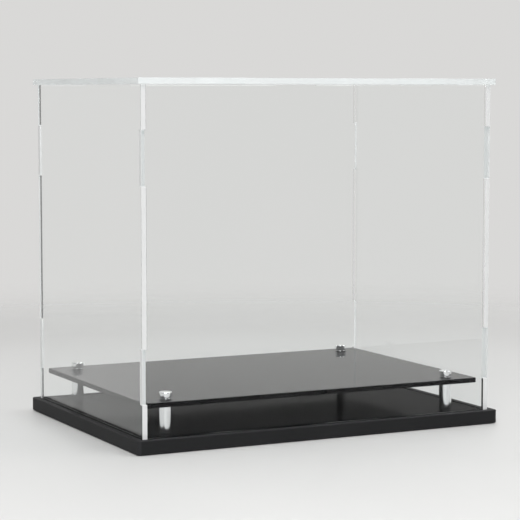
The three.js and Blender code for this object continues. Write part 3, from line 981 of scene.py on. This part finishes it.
@dataclass(frozen=True)
class Base(Assembly):
    """The lacquered board with its groove, the floor sheet on it and the feet under it.

    Attributes:
        corner_radius: Radius of the board's upright corners.
        rounding: Radius of the board's long arrises.
        groove_depth: Depth of the groove that the walls stand in.
        groove_clearance: Gap beside a wall's outer face in the groove.
        groove_corner: Radius of the groove's and the floor sheet's upright corners.
        groove_arris: Radius of the groove's arrises.
        hollow: Radius of the hollow at the foot of a cut.
        hole_arris: Radius of the mouths of the screw holes.
        cone_arris: Radius where a screw hole changes from rim to cone to shank.
        seat_gap: Gap between pieces that rest on each other.
        foot_clearance: Gap round a foot in its recess.
        foot_recess: Depth of that recess.
        screw_clearance: Gap round a base screw.
        sheet_arris: Radius of the floor sheet's arrises.
        rib_depth: Depth of the moulded rings of a foot.
        rib_arris: Radius of the rings' arrises.
        foot_arris: Radius of a foot's lower and of its upper arris.
        segments: Straight pieces round a foot or a hole.
    """

    corner_radius: float = 3.5 * MM
    rounding: float = 0.8 * MM
    groove_depth: float = 10 * MM
    groove_clearance: float = 0.5 * MM
    groove_corner: float = 0.4 * MM
    groove_arris: float = 0.3 * MM
    hollow: float = 0.2 * MM
    hole_arris: float = 0.15 * MM
    cone_arris: float = 0.1 * MM
    seat_gap: float = 0.1 * MM
    foot_clearance: float = 0.3 * MM
    foot_recess: float = 2 * MM
    screw_clearance: float = 0.35 * MM
    sheet_arris: float = 0.25 * MM
    rib_depth: float = 0.25 * MM
    rib_arris: float = 0.12 * MM
    foot_arris: tuple[float, float] = (0.6 * MM, 0.3 * MM)
    segments: int = 72

    def board(self) -> None:
        """The board: a rounded block with a groove, foot recesses and countersunk screw holes."""
        low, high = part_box("base_board")
        sheet_low, sheet_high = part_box("floor_sheet")
        side_low, side_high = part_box("wall_left")
        skin = Skin()
        outline = rectangle(high.x, high.y, self.corner_radius, steps=12)
        ledge_x = -side_low.x + self.groove_clearance
        ledge_y = side_high.y + self.groove_clearance
        floor, plateau = high.z - self.groove_depth, sheet_low.z - self.seat_gap
        foot_low, foot_high = skin.ring(outline, edge_profile(low.z, high.z, self.rounding, steps=6))
        outer = rectangle(ledge_x, ledge_y, self.groove_corner).as_hole()
        outer_low, outer_high = skin.ring(outer, self.groove_side(floor, high.z))
        inner = rectangle(sheet_high.x, sheet_high.y, self.groove_corner)
        inner_low, inner_high = skin.ring(inner, self.groove_side(floor, plateau))
        skin.face([foot_high, outer_high], is_up=True)
        skin.face([outer_low, inner_low], is_up=True)
        under, over = [], []
        for corner in Corner:
            mouth, roof = self.recess(skin, corner, low.z)
            skin.face([roof], is_up=False)
            bottom, top = self.screw_hole(skin, corner, low.z, plateau)
            under += [mouth, bottom]
            over.append(top)
        skin.face([foot_low, *under], is_up=False)
        skin.face([inner_high, *over], is_up=True)
        self.stand(skin.piece("lacquered_board", [LACQUER]), "base_board", "black_lacquer")

    def groove_side(self, low: float, high: float) -> Line:
        """A side of the groove in section, hollow at its foot and softened at its mouth."""
        corners = [(1, low, 0), (0, low, self.hollow), (0, high, self.groove_arris), (-1, high, 0)]
        return section(corners)

    def recess(self, skin: Skin, corner: Corner, underside: float) -> tuple[np.ndarray, np.ndarray]:
        """A round recess for a foot, cut up into the underside."""
        foot = Upright.of(f"foot_{corner.label}")
        path = circle(foot.radius + self.foot_clearance, self.segments).shifted(*foot.axis).as_hole()
        roof = underside + self.foot_recess
        corners = [(-1, underside, 0), (0, underside, self.hollow), (0, roof, self.hollow), (1, roof, 0)]
        return skin.ring(path, section(corners))

    def screw_hole(
        self, skin: Skin, corner: Corner, underside: float, top: float
    ) -> tuple[np.ndarray, np.ndarray]:
        """A countersunk hole through the board, a clearance wider than the screw."""
        screw = Upright.of(f"base_screw_{corner.label}")
        head = screw.radius + self.screw_clearance
        shank = Standoffs.thread_radius + self.screw_clearance
        rim_top = screw.low + Standoffs.head_rim + self.screw_clearance
        path = circle(0, self.segments).shifted(*screw.axis).as_hole()
        corners = [
            (-head - 1, underside, 0),
            (-head, underside, self.hole_arris),
            (-head, rim_top, self.cone_arris),
            (-shank, rim_top + head - shank, self.cone_arris),
            (-shank, top, self.hole_arris),
            (-shank - 1, top, 0),
        ]
        return skin.ring(path, section(corners))

    def floor_sheet(self) -> None:
        """The satin sheet that covers the board inside the groove."""
        low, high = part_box("floor_sheet")
        hole = circle(Standoffs.thread_radius + self.screw_clearance, 48)
        holes = [hole.shifted(*Upright.of(f"base_screw_{corner.label}").axis) for corner in Corner]
        outline = rectangle(high.x, high.y, self.groove_corner)
        skin = plate(outline, holes, low.z, high.z, self.sheet_arris)
        self.stand(skin.piece("satin_floor_sheet", [SATIN_BLACK]), "floor_sheet", "satin_acrylic")

    def foot(self, corner: Corner) -> None:
        """A round pad whose underside has two moulded rings, at shares of its radius."""
        node = f"foot_{corner.label}"
        axis, radius, low, high = Upright.of(node)
        up = low + self.rib_depth
        ribs = [
            (radius * share, level, self.rib_arris)
            for share, level in ((0.3, up), (0.34, low), (0.46, low), (0.5, up), (0.62, up), (0.66, low))
        ]
        lower, upper = self.foot_arris
        corners = [(0, up, 0), *ribs, (radius, low, lower), (radius, high, upper), (0, high, 0)]
        skin = self.turned(axis, corners, segments=self.segments, steps=4)
        self.stand(skin.piece(f"rubber_foot_{corner.label}", [RUBBER]), node, "black_rubber")

    def build(self) -> None:
        """Makes the board, the floor sheet and the feet."""
        self.board()
        self.floor_sheet()
        for corner in Corner:
            self.foot(corner)


@dataclass(frozen=True)
class Platform(Assembly):
    """The raised platform.

    Attributes:
        corner_radius: Radius of its upright corners.
        arris: Radius of its polished arrises.
        hole_clearance: Gap round a stud.
    """

    corner_radius: float = 1.5 * MM
    arris: float = 0.35 * MM
    hole_clearance: float = 0.5 * MM

    def build(self) -> None:
        """A glossy plate with four holes for the studs."""
        low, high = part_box("platform")
        hole = circle(Standoffs.thread_radius + self.hole_clearance, 48)
        holes = [hole.shifted(*Upright.of(f"standoff_barrel_{corner.label}").axis) for corner in Corner]
        outline = rectangle(high.x, high.y, self.corner_radius)
        skin = plate(outline, holes, low.z, high.z, self.arris)
        self.stand(skin.piece("raised_platform", [GLOSS_BLACK]), "platform", "black_acrylic")


@dataclass(frozen=True)
class Cover(Assembly):
    """Four clear walls, joined by fingers at the corners, and the lid on their tabs.

    Attributes:
        finger_length: Length of a finger.
        finger_inset: Lower or upper edge of a wall to the nearest finger.
        finger_clearance: Gap between a finger and its notch.
        tab_length: Length of a tab.
        tab_inset: Corner of the walls to the nearest end of a tab.
        slot_clearance: Gap round a tab in the lid.
        seat_gap: Gap between the walls and the lid.
        arris: Radius of the arrises of the sheets.
        corner_rounding: Radius where an outline turns.
        lid_radius: Radius of the lid's upright corners.
    """

    finger_length: float = 52.5 * MM
    finger_inset: float = 42.4 * MM
    finger_clearance: float = 0.15 * MM
    tab_length: float = 52.5 * MM
    tab_inset: float = 55 * MM
    slot_clearance: float = 0.25 * MM
    seat_gap: float = 0.1 * MM
    arris: float = 0.18 * MM
    corner_rounding: float = 0.25 * MM
    lid_radius: float = 1.0 * MM

    def outline(
        self, plain: float, fingered: float, growth: float, corner: float, low: float, tab_top: float
    ) -> Line:
        """A wall seen square on.

        Args:
            plain: Half the wall's width where it has no finger.
            fingered: Half its width along a finger or in a notch.
            growth: How much longer than a finger a notch is at each end.
            corner: Half the width of the cover on this side.
            low: Level of the lower edge.
            tab_top: Level of the tabs' ends.

        Returns:
            The outline, anticlockwise.
        """
        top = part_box("lid")[0].z - self.seat_gap
        first = low + self.finger_inset
        last = top - self.finger_inset - self.finger_length
        steps = [
            (half, level)
            for start in (first, last)
            for half, level in (
                (plain, start - growth),
                (fingered, start - growth),
                (fingered, start + self.finger_length + growth),
                (plain, start + self.finger_length + growth),
            )
        ]
        tab = corner - self.tab_inset
        crown = [(tab, top), (tab, tab_top), (tab - self.tab_length, tab_top), (tab - self.tab_length, top)]
        right = [(plain, low), *steps, (plain, top), *crown]
        left = [(-half, level) for half, level in reversed(right)]
        return softened([(*point, self.corner_rounding) for point in right + left], 4)

    def wall(self, side: str) -> None:
        """One wall, with fingers at the front and back and notches at the sides.

        The cut edges show above the base, but the ends bonded against a side wall have cleared.
        """
        node = f"wall_{side}"
        low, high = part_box(node)
        front_low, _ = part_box("wall_front")
        _, left_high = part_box("wall_left")
        half_x, half_y = -front_low.x, left_high.y
        thickness = left_high.x + half_x
        inset = thickness + self.finger_clearance
        if side in ("front", "back"):
            line = self.outline(half_x - inset, half_x, 0, half_x, low.z, high.z)
            plane, lower, upper = Plane.FACING_FRONT, -high.y, -low.y
        else:
            line = self.outline(half_y, half_y - inset, self.finger_clearance, half_y, low.z, high.z)
            plane, lower, upper = Plane.FACING_SIDE, low.x, high.x
        middle = (line.points + np.roll(line.points, -1, axis=0)) / 2
        is_bonded = plane is Plane.FACING_FRONT and np.abs(middle[:, 0]) < half_x - thickness
        is_bonded &= middle[:, 1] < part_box("lid")[0].z - 2 * self.seat_gap
        is_cut = (middle[:, 1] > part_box("base_board")[1].z) & ~is_bonded
        skin = plate(line, [], lower, upper, self.arris, cut_slot=is_cut.astype(int))
        piece = skin.piece(f"clear_wall_{side}", [CLEAR_FACE, CLEAR_EDGE], plane)
        self.stand(piece, node, "clear_acrylic")

    def lid(self) -> None:
        """The lid, with a slot for each of the walls' eight tabs."""
        low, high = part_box("lid")
        front_low, front_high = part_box("wall_front")
        left_low, left_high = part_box("wall_left")
        half = self.tab_length / 2 + self.slot_clearance
        thick = (left_high.x - left_low.x) / 2 + self.slot_clearance
        along_x = -front_low.x - self.tab_inset - self.tab_length / 2
        along_y = left_high.y - self.tab_inset - self.tab_length / 2
        beside_y = -(front_low.y + front_high.y) / 2
        beside_x = -(left_low.x + left_high.x) / 2
        lengthways = rectangle(half, thick, self.corner_rounding, 4)
        across = rectangle(thick, half, self.corner_rounding, 4)
        slots = []
        for x, y in (corner.value for corner in Corner):
            slots.append(lengthways.shifted(x * along_x, y * beside_y))
            slots.append(across.shifted(x * beside_x, y * along_y))
        outline = rectangle(high.x, high.y, self.lid_radius)
        skin = plate(outline, slots, low.z, high.z, self.arris, cut_slot=1)
        self.stand(skin.piece("clear_lid", [CLEAR_FACE, SHADED_LID_EDGE]), "lid", "clear_acrylic")

    def build(self) -> None:
        """Makes the walls and the lid."""
        for side in ("front", "back", "left", "right"):
            self.wall(side)
        self.lid()


# ---- Studio --------------------------------------------------------------------------------------


@dataclass(frozen=True)
class Softbox:
    """A large soft lamp.

    Attributes:
        name: Name of the lamp.
        place: Where it hangs.
        size: Its width and height.
        radiance: Brightness of its face beside the backdrop's, which is about 0.7.
    """

    name: str
    place: tuple[float, float, float]
    size: tuple[float, float]
    radiance: float

    def hang(self, target: Vector) -> None:
        """Hangs the lamp, facing the target."""
        lamp = bpy.data.lights.new(self.name, "AREA")
        lamp.shape = "RECTANGLE"
        lamp.size, lamp.size_y = self.size
        lamp.energy = self.radiance * math.pi * self.size[0] * self.size[1]
        made = bpy.data.objects.new(self.name, lamp)
        made.location = self.place
        made.rotation_euler = (target - made.location).to_track_quat("-Z", "Y").to_euler()
        bpy.context.scene.collection.objects.link(made)


@dataclass(frozen=True)
class Studio:
    """The plain pale floor, the backdrop, the lamps and the camera.

    Attributes:
        floor_half: Half the width of the floor.
        floor_corner: Radius of its upright corners.
        floor_thickness: How thick it is.
        floor_arris: Radius of its arrises.
        backdrop: Colour of the backdrop.
        room: Colour of the dim room on the camera's side.
        dusk: Where the room ends and the backdrop begins, as shares of the way to it.
        camera_place: Where the camera stands.
        camera_turn: Its turn about Z, in degrees.
        camera_pitch: How far it looks down, in degrees.
        lens: Its focal length in millimetres.
        sensor: Its sensor's width in millimetres.
    """

    floor_half: float = 2.0
    floor_corner: float = 0.3
    floor_thickness: float = 0.02
    floor_arris: float = 0.002
    backdrop: Colour = (0.695, 0.69, 0.68)
    room: Colour = (0.30, 0.30, 0.30)
    dusk: tuple[float, float] = (-0.35, 0.25)
    camera_place: tuple[float, float, float] = (-0.8795, -1.7563, 0.3387)
    camera_turn: float = -26.607
    camera_pitch: float = 5.05
    lens: float = 130.9
    sensor: float = 36.0

    def lamps(self) -> list[Softbox]:
        """The lamps."""
        return [
            Softbox("overhead_softbox", (0.5, 0.9, 1.8), (0.9, 0.6), 4.0),
            Softbox("key_softbox", (-1.1, -1.9, 1.9), (1.2, 1.0), 19.0),
            Softbox("side_softbox", (1.6, -0.9, 1.9), (1.2, 0.9), 6.0),
        ]

    def floor(self) -> None:
        """The floor, a round-cornered plate whose face is at level 0."""
        outline = rectangle(self.floor_half, self.floor_half, self.floor_corner)
        skin = plate(outline, [], -self.floor_thickness, 0.0, self.floor_arris)
        skin.piece("pale_floor", [PaleFloor()])

    def backdrop_light(self) -> None:
        """A pale backdrop behind the case, and a dim room on the camera's side of it."""
        world = bpy.data.worlds.new("pale_backdrop")
        world.use_nodes = True
        bench = Bench(world.node_tree)
        facing = bench.node("ShaderNodeTexCoord", output="Generated")
        turn = math.radians(self.camera_turn)
        away = (-math.sin(turn), math.cos(turn), 0)
        dot = {"operation": "DOT_PRODUCT"}
        depth = bench.node("ShaderNodeVectorMath", dot, {0: facing, 1: away}, "Value")
        colour = bench.blend(depth.eased(*self.dusk), self.room, self.backdrop)
        light = bench.node("ShaderNodeBackground", {}, {"Color": colour, "Strength": 1.0})
        bench.node("ShaderNodeOutputWorld", {}, {"Surface": light})
        bpy.context.scene.world = world

    def camera(self) -> None:
        """The camera."""
        data = bpy.data.cameras.new("camera")
        data.lens, data.sensor_width = self.lens, self.sensor
        data.clip_start, data.clip_end = 0.05, 50
        made = bpy.data.objects.new("camera", data)
        made.location = self.camera_place
        pitch = math.radians(90 - self.camera_pitch)
        made.rotation_euler = (pitch, 0, math.radians(self.camera_turn))
        bpy.context.scene.collection.objects.link(made)
        bpy.context.scene.camera = made

    def build(self) -> None:
        """Sets up the studio."""
        low, high = CAD_BOX
        self.camera()
        self.floor()
        self.backdrop_light()
        for lamp in self.lamps():
            lamp.hang((low + high) / 2)
        bpy.context.scene.view_settings.view_transform = "Standard"
        LOG.info("studio: %d lamps", len(self.lamps()))


def main() -> None:
    """Builds the sub-assemblies in order."""
    logging.basicConfig(level=logging.INFO, format="%(name)s: %(message)s")
    Studio().build()
    for assembly in (Base(), Standoffs(), Platform(), Cover()):
        assembly.build()


if __name__ == "__main__":
    main()
